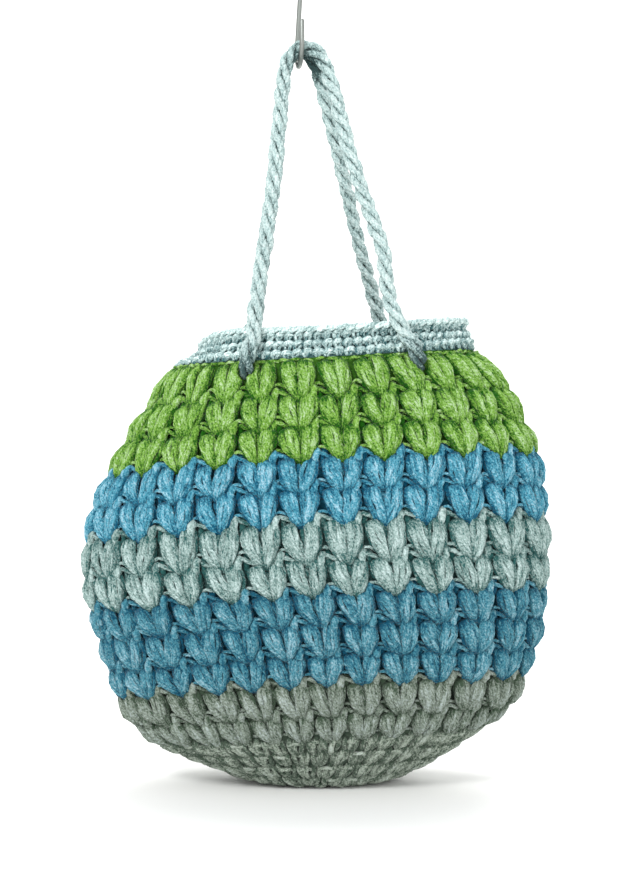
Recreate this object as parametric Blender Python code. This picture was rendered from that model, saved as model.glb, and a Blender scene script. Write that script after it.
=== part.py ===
"""Round crochet handbag with two rope handles, hung on an S-hook.

The bag is worked in one piece from the base up: rounds of small stitches for the base, twelve
rounds of heart-shaped puff stitches, and a neck band of three plain rounds. Each rope handle goes
through the fabric under the neck band at both of its ends, and both loops lie in the hook's lower
bend. Metres, +Z up, -Y is the front, and the origin is the middle of the face that the bag
stands on.
"""

import functools
import math
import random
from collections import namedtuple

import bmesh
import bpy
import numpy as np
from mathutils import Vector

MM = 0.001

# One row for each edge between two rounds of the fabric, from the rim down. Heights are in mm at
# the front middle and at the sides, left and right are the reach from the origin, depth is the
# reach to the front and the back, all to the crests of the stitches. Wall is the thickness.
Edge = namedtuple("Edge", "name middle_z side_z left right depth wall")
EDGES = [
    Edge("rim", 257.0, 261.0, 67.0, 86.0, 48.0, 5.0),
    Edge("band 1", 252.0, 256.0, 72.0, 88.0, 49.5, 5.0),
    Edge("band 2", 247.0, 251.0, 77.0, 90.5, 51.5, 5.5),
    Edge("band foot", 241.7, 245.5, 84.0, 93.5, 54.0, 7.0),
    Edge("green 1", 222.5, 223.9, 99.0, 111.5, 57.0, 10.0),
    Edge("green 2", 205.5, 204.7, 111.5, 120.7, 59.0, 10.5),
    Edge("green 3", 188.0, 185.4, 122.0, 128.7, 60.0, 10.5),
    Edge("blue 1", 171.0, 167.0, 130.5, 131.8, 60.5, 10.5),
    Edge("blue 2", 153.6, 148.0, 135.0, 134.0, 61.0, 10.5),
    Edge("grey 1", 132.5, 126.5, 136.0, 135.0, 61.0, 10.5),
    Edge("grey 2", 114.0, 107.5, 133.0, 134.5, 60.5, 10.5),
    Edge("blue 3", 97.5, 90.5, 128.0, 132.0, 59.0, 10.5),
    Edge("blue 4", 80.0, 72.5, 123.0, 128.5, 57.0, 10.5),
    Edge("blue 5", 64.4, 56.4, 118.0, 122.5, 54.5, 10.5),
    Edge("grey 3", 46.0, 39.5, 108.5, 114.5, 50.5, 10.0),
    Edge("grey 4", 31.0, 26.6, 94.0, 99.0, 45.0, 8.0),
    Edge("base 1", 22.4, 19.0, 81.0, 86.0, 40.0, 6.0),
    Edge("base 2", 14.0, 12.0, 68.0, 72.0, 34.0, 6.0),
    Edge("base 3", 6.0, 5.5, 55.0, 57.0, 28.0, 6.0),
    Edge("floor", 0.0, 0.0, 39.0, 41.0, 21.0, 6.0),
]
BAND_FOOT = 3
PUFF_ROUNDS = 12
BASE_TOP = BAND_FOOT + PUFF_ROUNDS
FLOOR = len(EDGES) - 1

# The right side hangs higher than the left, except where the bag stands.
TILT = math.tan(math.radians(3.0))
TILT_FROM_Z = 24.0

# Puff stitches: each heart is two lobes over a tip, and it has four points around and three down.
HEARTS = 26
POINTS_PER_HEART = 4
RINGS_PER_PUFF = 3
HEART_OFFSET = 0.15  # of a heart, from the front middle, at the band's foot
HEART_DRIFT = 0.10  # of a heart, to the right, for each round down
HEARTS_APART = (0.14, -0.08)  # how much wider in the middle: in the first round, and lower down
ROUNDS_TO_EVEN = 5
ZIGZAG = 0.44  # of a round, from the tip of a heart to the notch beside it
ZIGZAG_FADE = 1.5  # how fast it starts and ends, next to the plain rounds
PUFF_RELIEF = 5.5
PUFF_UNEVEN = 0.12
Relief = namedtuple("Relief", "beside left_lobe middle right_lobe")
RELIEF_SHARES = [
    Relief(0.00, 0.20, 0.00, 0.20),
    Relief(0.10, 1.00, 0.40, 1.00),
    Relief(0.00, 0.85, 0.90, 0.85),
]
PLAIN_RELIEF = 1.5  # groove between two rounds of the band or the base
INSIDE_POINTS = 52
INSIDE_EDGES = [0, 2, 4, 6, 8, 10, 12, 14, 16, 19]

# Rope handles, three strands laid in an S twist. The rope goes in between two hearts.
ROPE_RADIUS = 4.4
ROPE_GROOVE = 3.1
STRANDS = 3
LAY_LENGTH = 33.0
ROPE_STEP = 4.0
ROPE_CLEARANCE = 0.35
ROOT_HEART = 2.5
ROOT_LEVEL = 3.36
ROOT_STEPS = 9  # of the rope, from its end to where it is clear of the stitches

# Where a handle's left and right legs pass the rim, across the bag from its middle, and how each
# turns from there to its root: evenly at 1, and the less, the later.
Rim = namedtuple("Rim", "x turn")
FRONT_RIM = {-1: Rim(-32.9, 0.35), 1: Rim(43.7, 0.55)}
BACK_RIM = {-1: Rim(-41.5, 1.0), 1: Rim(41.0, 1.0)}

# A rope's way from its cut end inside the bag to the rim, with its share of the way across.
Root = namedtuple("Root", "share level lift")
ROOTS = [
    Root(0.0, ROOT_LEVEL, -19.0),
    Root(0.0, ROOT_LEVEL, -13.0),
    Root(0.0, ROOT_LEVEL, -7.0),
    Root(0.02, ROOT_LEVEL - 0.04, -1.0),
    Root(0.16, ROOT_LEVEL - 0.27, 3.8),
    Root(0.45, 2.55, 5.6),
    Root(0.72, 1.6, 5.3),
    Root(1.0, 0.5, 5.4),
]

# Each handle's way over the hook, from its left leg to its right leg, in mm.
Pass = namedtuple("Pass", "x y z")
FRONT_RUN = [
    Pass(-33.2, -43.5, 272.0),
    Pass(-30.0, -37.5, 296.0),
    Pass(-24.6, -26.0, 338.0),
    Pass(-21.5, -15.5, 376.0),
    Pass(-19.4, -8.6, 403.0),
    Pass(-16.2, -5.6, 416.8),
    Pass(-9.9, -4.9, 423.6),
    Pass(-3.4, -5.2, 422.9),
    Pass(2.4, -6.0, 417.2),
    Pass(7.4, -9.0, 404.5),
    Pass(12.2, -14.5, 386.0),
    Pass(20.5, -25.0, 351.0),
    Pass(29.8, -33.5, 322.0),
    Pass(37.4, -41.0, 294.0),
    Pass(40.0, -45.4, 272.0),
]
BACK_RUN = [
    Pass(-38.6, 43.5, 272.0),
    Pass(-34.8, 36.5, 298.0),
    Pass(-27.8, 25.0, 340.0),
    Pass(-23.0, 14.0, 378.0),
    Pass(-20.4, 8.6, 401.0),
    Pass(-17.6, 5.2, 416.6),
    Pass(-11.0, 4.5, 423.4),
    Pass(-5.0, 4.7, 422.0),
    Pass(-0.2, 6.0, 414.6),
    Pass(4.0, 8.8, 400.5),
    Pass(10.6, 15.5, 376.0),
    Pass(19.0, 27.0, 342.0),
    Pass(27.8, 35.5, 308.0),
    Pass(35.4, 41.8, 282.0),
    Pass(38.6, 44.2, 270.0),
]

# S-hook of round wire, standing in a vertical plane turned slightly from front to back.
WIRE_RADIUS = 1.4
HOOK_BEND = 12.0
HOOK_X = -10.2
HOOK_TURN = math.radians(8.0)
HOOK_LOW_Z = 426.4
HOOK_HIGH_Z = 468.6
HOOK_TIP_Z = 438.0
HOOK_TAIL_Z = 461.0
HOOK_ARC_STEPS = 9


def column(level, name):
    """A column of EDGES read between its rows along a Catmull-Rom curve."""
    level = min(max(level, 0.0), FLOOR)
    low = min(int(level), FLOOR - 1)
    share = level - low
    before, start, end, after = (
        getattr(EDGES[min(max(i, 0), FLOOR)], name) for i in range(low - 1, low + 3)
    )
    return start + 0.5 * share * (
        end - before
        + share * (2 * before - 5 * start + 4 * end - after
                   + share * (3 * (start - end) + after - before))
    )


@functools.lru_cache(maxsize=None)
def section(level):
    """Centre, half width, half depth, heights and the distance round at a table of angles."""
    left, right, depth = (column(level, name) for name in ("left", "right", "depth"))
    half_width = (left + right) / 2
    angles = np.linspace(0.0, math.pi, 181)
    speed = np.hypot(half_width * np.cos(angles), depth * np.sin(angles))
    run = np.concatenate([[0.0], np.cumsum((speed[1:] + speed[:-1]) / 2)])
    middle_z, side_z = column(level, "middle_z"), column(level, "side_z")
    return (right - left) / 2, half_width, depth, middle_z, side_z, angles, run / run[-1]


def envelope(turn, level):
    """A point, in mm, of the smooth surface over the stitches. Turn is the share of the way
    round from the front middle, to the right, and level counts the rows of EDGES."""
    centre, half_width, depth, middle_z, side_z, angles, run = section(round(level, 6))
    turn = (turn + 0.5) % 1.0 - 0.5
    angle = math.copysign(float(np.interp(2 * abs(turn), run, angles)), turn)
    x = centre + half_width * math.sin(angle)
    y = -depth * math.cos(angle)
    z = side_z + (middle_z - side_z) * math.cos(angle) ** 2
    hang = min(max(z / TILT_FROM_Z, 0.0), 1.0)
    return Vector((x, y, z + TILT * x * hang * hang * (3 - 2 * hang)))


def outward(turn, level):
    """The envelope's normal."""
    small = 0.002
    low, high = max(level - 0.05, 0.0), min(level + 0.05, float(FLOOR))
    around = envelope(turn + small, level) - envelope(turn - small, level)
    down = envelope(turn, high) - envelope(turn, low)
    return down.cross(around).normalized()


def turn_at(x, level):
    """The front turn at which the envelope is this far across."""
    centre, half_width, _, _, _, angles, run = section(round(level, 6))
    angle = math.asin((x - centre) / half_width)
    return math.copysign(float(np.interp(abs(angle), angles, run)) / 2, angle)


def off_envelope(turn, level, lift):
    return envelope(turn, level) + lift * outward(turn, level)


def heart_turn(heart, level):
    """Turn of the middle of a heart. Hearts count from the front middle to the right."""
    down = min(max((level - BAND_FOOT) / ROUNDS_TO_EVEN, 0.0), 1.0)
    apart = HEARTS_APART[0] + (HEARTS_APART[1] - HEARTS_APART[0]) * down
    even = (heart + HEART_OFFSET + HEART_DRIFT * (level - BAND_FOOT)) / HEARTS
    return even + apart * math.sin(4 * math.pi * even) / (4 * math.pi)


def outside_rings():
    """One (level, relief shares or None, groove in mm) for each ring of outside points."""
    rings = []
    for edge in range(BAND_FOOT):
        rings += [(edge, None, PLAIN_RELIEF if edge else 0.0), (edge + 0.5, None, 0.0)]
    for puff in range(PUFF_ROUNDS):
        for ring in range(RINGS_PER_PUFF):
            rings.append((BAND_FOOT + puff + ring / RINGS_PER_PUFF, RELIEF_SHARES[ring], 0.0))
    for edge in range(BASE_TOP, FLOOR):
        rings += [(edge, None, 2 * PLAIN_RELIEF if edge == BASE_TOP else PLAIN_RELIEF)]
        rings += [(edge + 0.5, None, 0.0)] if edge < FLOOR - 1 else []
    return rings + [(FLOOR, None, 0.0)]


def outside_point(step, ring, uneven):
    """The point of the outside at a step round the bag, in mm."""
    level, shares, groove = ring
    heart, part = divmod(step, POINTS_PER_HEART)
    turn = heart_turn(heart - HEARTS / 2 + part / POINTS_PER_HEART - 0.5, level)
    if shares is None:
        return off_envelope(turn, level, -groove)
    plain = min(level - BAND_FOOT, BASE_TOP - level)
    swing = ZIGZAG * (0.5 - abs(2 * part / POINTS_PER_HEART - 1)) * min(1.0, ZIGZAG_FADE * plain)
    share = shares[part] + uneven[heart % HEARTS] * shares[part]
    return off_envelope(turn, level + swing, -PUFF_RELIEF * (1 - share))


def rolled_grid(bm, steps, rings, place):
    """A grid rolled into a tube: place(step, ring) puts each of its points, in mm."""
    grid = bmesh.ops.create_grid(bm, x_segments=steps, y_segments=len(rings) - 1, size=0.5)
    for vert in grid["verts"]:
        step = round((vert.co.x + 0.5) * steps) % steps
        ring = round((0.5 - vert.co.y) * (len(rings) - 1))
        vert.co = place(step, rings[ring]) * MM
    bmesh.ops.remove_doubles(bm, verts=grid["verts"], dist=1e-6)


def close_lowest_loop(bm):
    """Fills the open end that lies lowest."""
    loose = [edge for edge in bm.edges if edge.is_boundary]
    lowest = min(loose, key=lambda edge: edge.verts[0].co.z)
    loop, found = {lowest}, [lowest]
    while found:
        for vert in found.pop().verts:
            for edge in vert.link_edges:
                if edge.is_boundary and edge not in loop:
                    loop.add(edge)
                    found.append(edge)
    bmesh.ops.contextual_create(bm, geom=list(loop))


def build_bag(material, collection):
    """Outside with its stitches, a plainer inside, and the rim that joins them."""
    bm = bmesh.new()
    chance = random.Random(7)
    rings = outside_rings()
    uneven = {ring: [chance.uniform(-PUFF_UNEVEN, 0.0) for _ in range(HEARTS)] for ring in rings}
    rolled_grid(
        bm,
        HEARTS * POINTS_PER_HEART,
        rings,
        lambda step, ring: outside_point(step, ring, uneven[ring]),
    )
    close_lowest_loop(bm)

    def inside_point(step, level):
        return off_envelope(step / INSIDE_POINTS - 0.5, level, -column(level, "wall"))

    rolled_grid(bm, INSIDE_POINTS, INSIDE_EDGES, inside_point)
    close_lowest_loop(bm)
    bmesh.ops.bridge_loops(bm, edges=[edge for edge in bm.edges if edge.is_boundary])
    bmesh.ops.triangulate(bm, faces=bm.faces)
    bmesh.ops.recalc_face_normals(bm, faces=bm.faces)
    return mesh_object("bag_body", bm, material, collection)


def mesh_object(name, bm, material, collection):
    mesh = bpy.data.meshes.new(name)
    bm.to_mesh(mesh)
    bm.free()
    mesh.materials.append(material)
    mesh.shade_smooth()
    mesh.set_sharp_from_angle(angle=math.radians(50))
    made = bpy.data.objects.new(name, mesh)
    collection.objects.link(made)
    return made


def smooth_route(points, step):
    """Points about a step apart on a natural cubic spline through these points."""
    points = np.array(points)
    knots = np.concatenate([[0.0], np.cumsum(np.linalg.norm(np.diff(points, axis=0), axis=1))])
    gaps = np.diff(knots)
    weights = np.eye(len(points))
    changes = np.zeros_like(points)
    for i in range(1, len(points) - 1):
        weights[i, i - 1:i + 2] = gaps[i - 1], 2 * (gaps[i - 1] + gaps[i]), gaps[i]
        slopes = (points[i + 1] - points[i]) / gaps[i], (points[i] - points[i - 1]) / gaps[i - 1]
        changes[i] = 6 * (slopes[0] - slopes[1])
    bends = np.linalg.solve(weights, changes)
    at = np.linspace(0.0, knots[-1], round(knots[-1] / step) + 1)
    i = np.clip(np.searchsorted(knots, at, side="right") - 1, 0, len(gaps) - 1)
    gap = gaps[i][:, None]
    before = (knots[i + 1] - at)[:, None] / gap
    after = 1 - before
    lift = (before**3 - before) * bends[i] + (after**3 - after) * bends[i + 1]
    return before * points[i] + after * points[i + 1] + lift * gap**2 / 6


def root_points(side, facing, rim):
    """A rope's points from its cut end inside the bag to the rim. Side is -1 for left and 1
    for right, and facing is 1 at the front and -1 at the back."""
    start_x = envelope(heart_turn(side * ROOT_HEART, ROOT_LEVEL), ROOT_LEVEL).x
    points = []
    for root in ROOTS:
        share = root.share ** rim[side].turn
        turn = turn_at(start_x + share * (rim[side].x - start_x), root.level)
        points.append(off_envelope(turn if facing > 0 else 0.5 - turn, root.level, root.lift))
    return points


def handle_route(run, facing, rim):
    roots = root_points(-1, facing, rim), root_points(1, facing, rim)
    return smooth_route([*roots[0], *run, *reversed(roots[1])], ROPE_STEP)


def tube(name, route, collection, tilts=None, profile=None, radius=0.0):
    """A welded tube along a route in mm, round or with a profile that turns by its tilts."""
    curve = bpy.data.curves.new(name, "CURVE")
    curve.dimensions = "3D"
    curve.twist_mode = "MINIMUM"
    curve.use_fill_caps = True
    curve.bevel_depth = radius * MM
    curve.bevel_resolution = 2
    if profile:
        curve.bevel_mode = "OBJECT"
        curve.bevel_object = profile
    spline = curve.splines.new("POLY")
    spline.points.add(len(route) - 1)
    for i, point in enumerate(spline.points):
        point.co = (*(Vector(route[i]) * MM), 1.0)
        point.tilt = tilts[i] if tilts is not None else 0.0
    guide = bpy.data.objects.new(name + "_curve", curve)
    collection.objects.link(guide)
    depsgraph = bpy.context.evaluated_depsgraph_get()
    mesh = bpy.data.meshes.new_from_object(guide.evaluated_get(depsgraph))
    bpy.data.objects.remove(guide)
    bm = bmesh.new()
    bm.from_mesh(mesh)
    bpy.data.meshes.remove(mesh)
    bmesh.ops.remove_doubles(bm, verts=bm.verts, dist=1e-6)
    bmesh.ops.recalc_face_normals(bm, faces=bm.faces)
    return bm


def rope_profile(guides):
    """Closed outline of three strands: a groove and two lobe points for each."""
    curve = bpy.data.curves.new("rope_profile", "CURVE")
    curve.dimensions = "2D"
    spline = curve.splines.new("POLY")
    radii = [ROPE_GROOVE, ROPE_RADIUS, ROPE_RADIUS] * STRANDS
    spline.points.add(len(radii) - 1)
    spline.use_cyclic_u = True
    for i, (point, radius) in enumerate(zip(spline.points, radii)):
        angle = 2 * math.pi * i / len(radii)
        point.co = (radius * MM * math.cos(angle), radius * MM * math.sin(angle), 0.0, 1.0)
    outline = bpy.data.objects.new("rope_profile", curve)
    hide_guide(outline)
    guides.objects.link(outline)
    return outline


def hide_guide(guide):
    guide.hide_render = True
    guide.display_type = "WIRE"


def build_handle(name, route, profile, material, collection):
    """Twisted rope along its route."""
    run = np.concatenate([[0.0], np.cumsum(np.linalg.norm(np.diff(route, axis=0), axis=1))])
    tilts = -run * 2 * math.pi / LAY_LENGTH
    return mesh_object(name, tube(name, route, collection, tilts, profile), material, collection)


def cut_root(bag, name, route, guides):
    """Opens the stitches around a rope's end."""
    bm = tube(name, route, guides, radius=ROPE_RADIUS + ROPE_CLEARANCE)
    cutter = mesh_object(name, bm, bag.data.materials[0], guides)
    hide_guide(cutter)
    cut = bag.modifiers.new(name, "BOOLEAN")
    cut.object = cutter
    cut.operation = "DIFFERENCE"
    cut.solver = "EXACT"


def hook_route():
    """Points of the wire in mm from its front tip, round both bends, to the tail."""
    outline = [(HOOK_BEND, HOOK_TIP_Z)]
    for i in range(2 * HOOK_ARC_STEPS + 1):
        angle = -math.pi * i / (2 * HOOK_ARC_STEPS)
        outline.append(
            (HOOK_BEND * math.cos(angle), HOOK_LOW_Z + HOOK_BEND * math.sin(angle))
        )
    for i in range(2 * HOOK_ARC_STEPS + 1):
        angle = math.pi * i / (2 * HOOK_ARC_STEPS)
        outline.append(
            (HOOK_BEND * math.cos(angle), HOOK_HIGH_Z + HOOK_BEND * math.sin(angle))
        )
    outline.append((-HOOK_BEND, HOOK_TAIL_Z))
    front = Vector((math.sin(HOOK_TURN), -math.cos(HOOK_TURN), 0.0))
    return [Vector((HOOK_X, 0.0, z)) + reach * front for reach, z in outline]


def build_hook(material, collection):
    return mesh_object(
        "hook", tube("hook", hook_route(), collection, radius=WIRE_RADIUS), material, collection
    )


def new_material(name, color, roughness, metallic=0.0):
    material = bpy.data.materials.new(name)
    material.use_nodes = True
    shader = material.node_tree.nodes["Principled BSDF"]
    shader.inputs["Base Color"].default_value = (*color, 1.0)
    shader.inputs["Roughness"].default_value = roughness
    shader.inputs["Metallic"].default_value = metallic
    return material


def new_collection(name):
    made = bpy.data.collections.new(name)
    bpy.context.scene.collection.children.link(made)
    return made


def main():
    for old in list(bpy.data.objects):
        bpy.data.objects.remove(old)
    model = new_collection("crochet_bag")
    guides = new_collection("guides")
    wool = new_material("bag_body", (0.19, 0.27, 0.25), 0.9)
    rope = new_material("rope", (0.45, 0.60, 0.58), 0.85)
    steel = new_material("hook", (0.72, 0.73, 0.72), 0.2, 1.0)

    bag = build_bag(wool, model)
    profile = rope_profile(guides)
    handles = ("front", FRONT_RUN, 1, FRONT_RIM), ("back", BACK_RUN, -1, BACK_RIM)
    for name, run, facing, rim in handles:
        route = handle_route(run, facing, rim)
        build_handle("handle_" + name, route, profile, rope, model)
        cut_root(bag, name + "_left_root", route[:ROOT_STEPS], guides)
        cut_root(bag, name + "_right_root", route[-ROOT_STEPS:], guides)
    build_hook(steel, model)


main()
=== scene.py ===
"""Looks of the round crochet handbag that hangs from an S-hook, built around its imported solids.

Metres, +Z up, -Y is the front. The yarn sections work in millimetres and scale when a mesh is made.
"""

import math
from collections import namedtuple

import bmesh
import bpy
import numpy as np
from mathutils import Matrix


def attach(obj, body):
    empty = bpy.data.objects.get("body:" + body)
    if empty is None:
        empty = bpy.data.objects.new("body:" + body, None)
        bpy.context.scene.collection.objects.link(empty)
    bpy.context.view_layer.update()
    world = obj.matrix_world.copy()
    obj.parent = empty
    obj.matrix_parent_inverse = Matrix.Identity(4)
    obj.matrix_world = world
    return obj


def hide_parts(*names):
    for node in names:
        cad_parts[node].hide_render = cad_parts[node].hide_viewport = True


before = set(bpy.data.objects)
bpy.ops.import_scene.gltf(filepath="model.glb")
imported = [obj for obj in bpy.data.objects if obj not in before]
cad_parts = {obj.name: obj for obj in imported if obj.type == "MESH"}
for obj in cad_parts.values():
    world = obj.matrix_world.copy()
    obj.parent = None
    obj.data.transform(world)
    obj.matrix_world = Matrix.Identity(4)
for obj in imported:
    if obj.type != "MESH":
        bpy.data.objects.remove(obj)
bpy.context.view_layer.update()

# The view. The photo was taken level with the middle of the bag and 0.8 m in front of it. The
# point straight ahead of the camera lies a little left of the picture's middle and below it.
PHOTO_WIDTH_PX = 641
PHOTO_HEIGHT_PX = 893
AHEAD_PX = (317.0, 470.0)
FOCAL_PX = 1379.0
SENSOR_MM = 36.0
CAMERA_PLACE = (0.0, -0.8, 0.18)

bpy.ops.object.camera_add(location=CAMERA_PLACE, rotation=(math.pi / 2, 0.0, 0.0))
camera = bpy.context.object
camera.name = "camera"
camera.data.sensor_width = SENSOR_MM
camera.data.lens = SENSOR_MM * FOCAL_PX / PHOTO_HEIGHT_PX
camera.data.shift_x = (PHOTO_WIDTH_PX / 2 - AHEAD_PX[0]) / PHOTO_HEIGHT_PX
camera.data.shift_y = (AHEAD_PX[1] - PHOTO_HEIGHT_PX / 2) / PHOTO_HEIGHT_PX
bpy.context.scene.camera = camera


# The studio. A pale floor that curves up into a pale wall far behind the bag, lit softly from the
# upper left, with weaker light from the right and from the front.
FLOOR_WIDTH = 8.0
FLOOR_FRONT = -4.0
FLOOR_BACK = 2.4
WALL_HEIGHT = 4.0
SWEEP_RADIUS = 0.9
SWEEP_STEPS = 24
FLOOR_Z = -0.0002
PAINT = (0.86, 0.86, 0.85)
PAINT_ROUGHNESS = 0.7
SKY_STRENGTH = 0.75
AT_EDGE = 0.01  # how near to a line an edge's middle lies to be taken as on it


class Term:
    """A socket of a material that sums and products can be written with."""

    def __init__(self, finish, socket):
        self.finish = finish
        self.socket = socket

    def math(self, operation, *values):
        return self.finish.node("ShaderNodeMath", {"operation": operation}, *values)

    def __add__(self, other):
        return self.math("ADD", self, other)

    def __sub__(self, other):
        return self.math("SUBTRACT", self, other)

    def __rsub__(self, other):
        return self.math("SUBTRACT", other, self)

    def __mul__(self, other):
        return self.math("MULTIPLY", self, other)

    __radd__ = __add__
    __rmul__ = __mul__


class Finish:
    """A material, its shader, and the way to add nodes to it."""

    def __init__(self, name, color, roughness, **fixed):
        self.material = bpy.data.materials.new(name)
        self.material.use_nodes = True
        self.tree = self.material.node_tree
        self.shader = self.tree.nodes["Principled BSDF"]
        self.set("Base Color", (*color, 1.0))
        self.set("Roughness", roughness)
        for socket, value in fixed.items():
            self.set(socket.replace("_", " "), value)

    def set(self, socket, value):
        """Links a term to the shader's socket, or sets its value."""
        self.fill(self.shader.inputs[socket], value)

    def fill(self, socket, value):
        if isinstance(value, Term):
            self.tree.links.new(value.socket, socket)
        else:
            socket.default_value = value

    def node(self, kind, settings, *values, output=None, **named):
        """The output of a new node of a type, with its settings, then its sockets in order or by
        name. Sockets that share a name go by their identifier."""
        made = self.tree.nodes.new(kind)
        for name, value in settings.items():
            setattr(made, name, value)
        for socket, value in zip(made.inputs, values):
            self.fill(socket, value)
        for name, value in named.items():
            self.fill(self.find(made.inputs, name), value)
        return Term(self, self.find(made.outputs, output) if output else made.outputs[0])

    def noted(self, label):
        """The number that each point of the mesh has under a name."""
        return self.node("ShaderNodeAttribute", {"attribute_name": label}, output="Fac")

    def find(self, sockets, name):
        fitting = [socket for socket in sockets if name in (socket.identifier, socket.name)]
        return fitting[0]


def select_parts(kind, wanted):
    """In edit mode, selects the faces or edges whose middle passes a test."""
    bm = bmesh.from_edit_mesh(bpy.context.object.data)
    bpy.ops.mesh.select_all(action="DESELECT")
    for part in getattr(bm, kind):
        middle = sum((vert.co for vert in part.verts), start=part.verts[0].co * 0)
        part.select_set(bool(wanted(middle / len(part.verts))))
    bmesh.update_edit_mesh(bpy.context.object.data)


bpy.ops.object.select_all(action="DESELECT")
bpy.ops.mesh.primitive_plane_add(size=1.0, location=(0.0, (FLOOR_FRONT + FLOOR_BACK) / 2, FLOOR_Z))
floor = bpy.context.object
floor.name = "studio_floor"
floor.scale = (FLOOR_WIDTH, FLOOR_BACK - FLOOR_FRONT, 1.0)
bpy.ops.object.transform_apply(location=True, rotation=True, scale=True)
bpy.ops.object.mode_set(mode="EDIT")
bpy.ops.mesh.select_mode(type="EDGE")
select_parts("edges", lambda middle: middle.y > FLOOR_BACK - AT_EDGE)
bpy.ops.mesh.extrude_edges_move(TRANSFORM_OT_translate={"value": (0.0, 0.0, WALL_HEIGHT)})
select_parts("edges", lambda middle: middle.y > FLOOR_BACK - AT_EDGE and middle.z < AT_EDGE)
bpy.ops.mesh.bevel(offset=SWEEP_RADIUS, segments=SWEEP_STEPS, affect="EDGES")
bpy.ops.object.mode_set(mode="OBJECT")
bpy.ops.object.shade_smooth()
floor.data.materials.append(Finish("studio_paint", PAINT, PAINT_ROUGHNESS).material)

Lamp = namedtuple("Lamp", "name place target size watts")
LAMPS = [
    Lamp("key_light", (-0.75, -1.15, 1.25), (0.0, 0.0, 0.18), 0.5, 19.0),
    Lamp("right_light", (1.3, -0.7, 0.7), (0.0, 0.0, 0.18), 0.9, 5.0),
    Lamp("front_light", (0.0, -1.7, 0.55), (0.0, 0.0, 0.2), 0.9, 5.0),
    Lamp("back_light", (0.5, 1.4, 1.3), (0.0, 0.0, 0.2), 0.9, 8.0),
    Lamp("wall_light", (0.0, 0.9, 2.6), (0.0, 2.4, 0.8), 1.6, 60.0),
]
for lamp in LAMPS:
    bpy.ops.object.light_add(type="AREA", location=lamp.place)
    light = bpy.context.object
    light.name = lamp.name
    light.data.size = lamp.size
    light.data.energy = lamp.watts
    aim = light.location - type(light.location)(lamp.target)
    light.rotation_euler = aim.to_track_quat("Z", "Y").to_euler()

world = bpy.data.worlds.new("studio")
world.use_nodes = True
sky = world.node_tree.nodes["Background"]
sky.inputs["Color"].default_value = (1.0, 1.0, 1.0, 1.0)
sky.inputs["Strength"].default_value = SKY_STRENGTH
bpy.context.scene.world = world
bpy.context.scene.view_settings.view_transform = "Standard"


# The hook. A plain S-hook of plated wire, bent round and with its ends rounded off. The handles
# lie in its lower bend, and a rail would go through its upper one. Its way is the solid's.
MM = 0.001
WIRE_RADIUS = 1.4
WIRE_ROUNDNESS = 6
HOOK_BEND = 12.0
HOOK_X = -10.2
HOOK_TURN = math.radians(8.0)
HOOK_LOW_Z = 426.4  # of the middle of its lower bend
HOOK_HIGH_Z = 468.6
HOOK_TIP_Z = 438.0  # of its front end
HOOK_TAIL_Z = 461.0
HOOK_ARC_STEPS = 18
HOOK_WELD = 0.000001
PLATING = (0.27, 0.29, 0.275)
PLATING_ROUGHNESS = 0.4
SCUFFS_PER_M = 900.0
SCUFF_ROUGHNESS = 0.2
ROUND_END = ((0.0, 0.02), (0.1, 0.44), (0.3, 0.72), (0.6, 0.92), (1.0, 1.0))  # along, radius


def hook_outline():
    """Reach to the front and height along the wire, from its front tip to its tail."""
    turn = np.linspace(0.0, math.pi, HOOK_ARC_STEPS + 1)
    low = np.stack([HOOK_BEND * np.cos(turn), HOOK_LOW_Z - HOOK_BEND * np.sin(turn)], axis=1)
    high = np.stack([HOOK_BEND * np.cos(turn), HOOK_HIGH_Z + HOOK_BEND * np.sin(turn)], axis=1)
    tip = [(HOOK_BEND, HOOK_TIP_Z - along * WIRE_RADIUS) for along, _ in ROUND_END]
    tail = [(-HOOK_BEND, HOOK_TAIL_Z + along * WIRE_RADIUS) for along, _ in reversed(ROUND_END)]
    return np.concatenate([tip, low, high, tail])


def activate(piece):
    bpy.ops.object.select_all(action="DESELECT")
    piece.select_set(True)
    bpy.context.view_layer.objects.active = piece


def weld(piece, distance):
    """Joins points that lie this near to each other, and turns the faces outwards."""
    activate(piece)
    bpy.ops.object.mode_set(mode="EDIT")
    bpy.ops.mesh.select_all(action="SELECT")
    bpy.ops.mesh.remove_doubles(threshold=distance)
    bpy.ops.mesh.normals_make_consistent(inside=False)
    bpy.ops.object.mode_set(mode="OBJECT")
    bpy.ops.object.shade_smooth()


outline = hook_outline()
bpy.ops.object.select_all(action="DESELECT")
bpy.ops.curve.primitive_nurbs_path_add()
hook = bpy.context.object
hook.name = "s_hook"
hook.data.splines.clear()
wire = hook.data.splines.new("POLY")
wire.points.add(len(outline) - 1)
for i, (reach, height) in enumerate(outline):
    across = HOOK_X + reach * math.sin(HOOK_TURN)
    wire.points[i].co = (across * MM, -reach * math.cos(HOOK_TURN) * MM, height * MM, 1.0)
    from_end = min(i, len(outline) - 1 - i)
    wire.points[i].radius = ROUND_END[from_end][1] if from_end < len(ROUND_END) else 1.0
hook.data.dimensions = "3D"
hook.data.bevel_depth = WIRE_RADIUS * MM
hook.data.bevel_resolution = WIRE_ROUNDNESS
hook.data.use_fill_caps = True
activate(hook)
bpy.ops.object.convert(target="MESH")
weld(hook, HOOK_WELD)
plating = Finish("bright_plating", PLATING, PLATING_ROUGHNESS, Metallic=1.0)
place = plating.node("ShaderNodeTexCoord", {}, output="Object")
scuffs = plating.node("ShaderNodeTexNoise", {}, Vector=place, Scale=SCUFFS_PER_M, Detail=3.0)
plating.set("Roughness", scuffs * SCUFF_ROUGHNESS + PLATING_ROUGHNESS)
hook.data.materials.clear()
hook.data.materials.append(plating.material)
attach(hook, "root")
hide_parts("hook")


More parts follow.
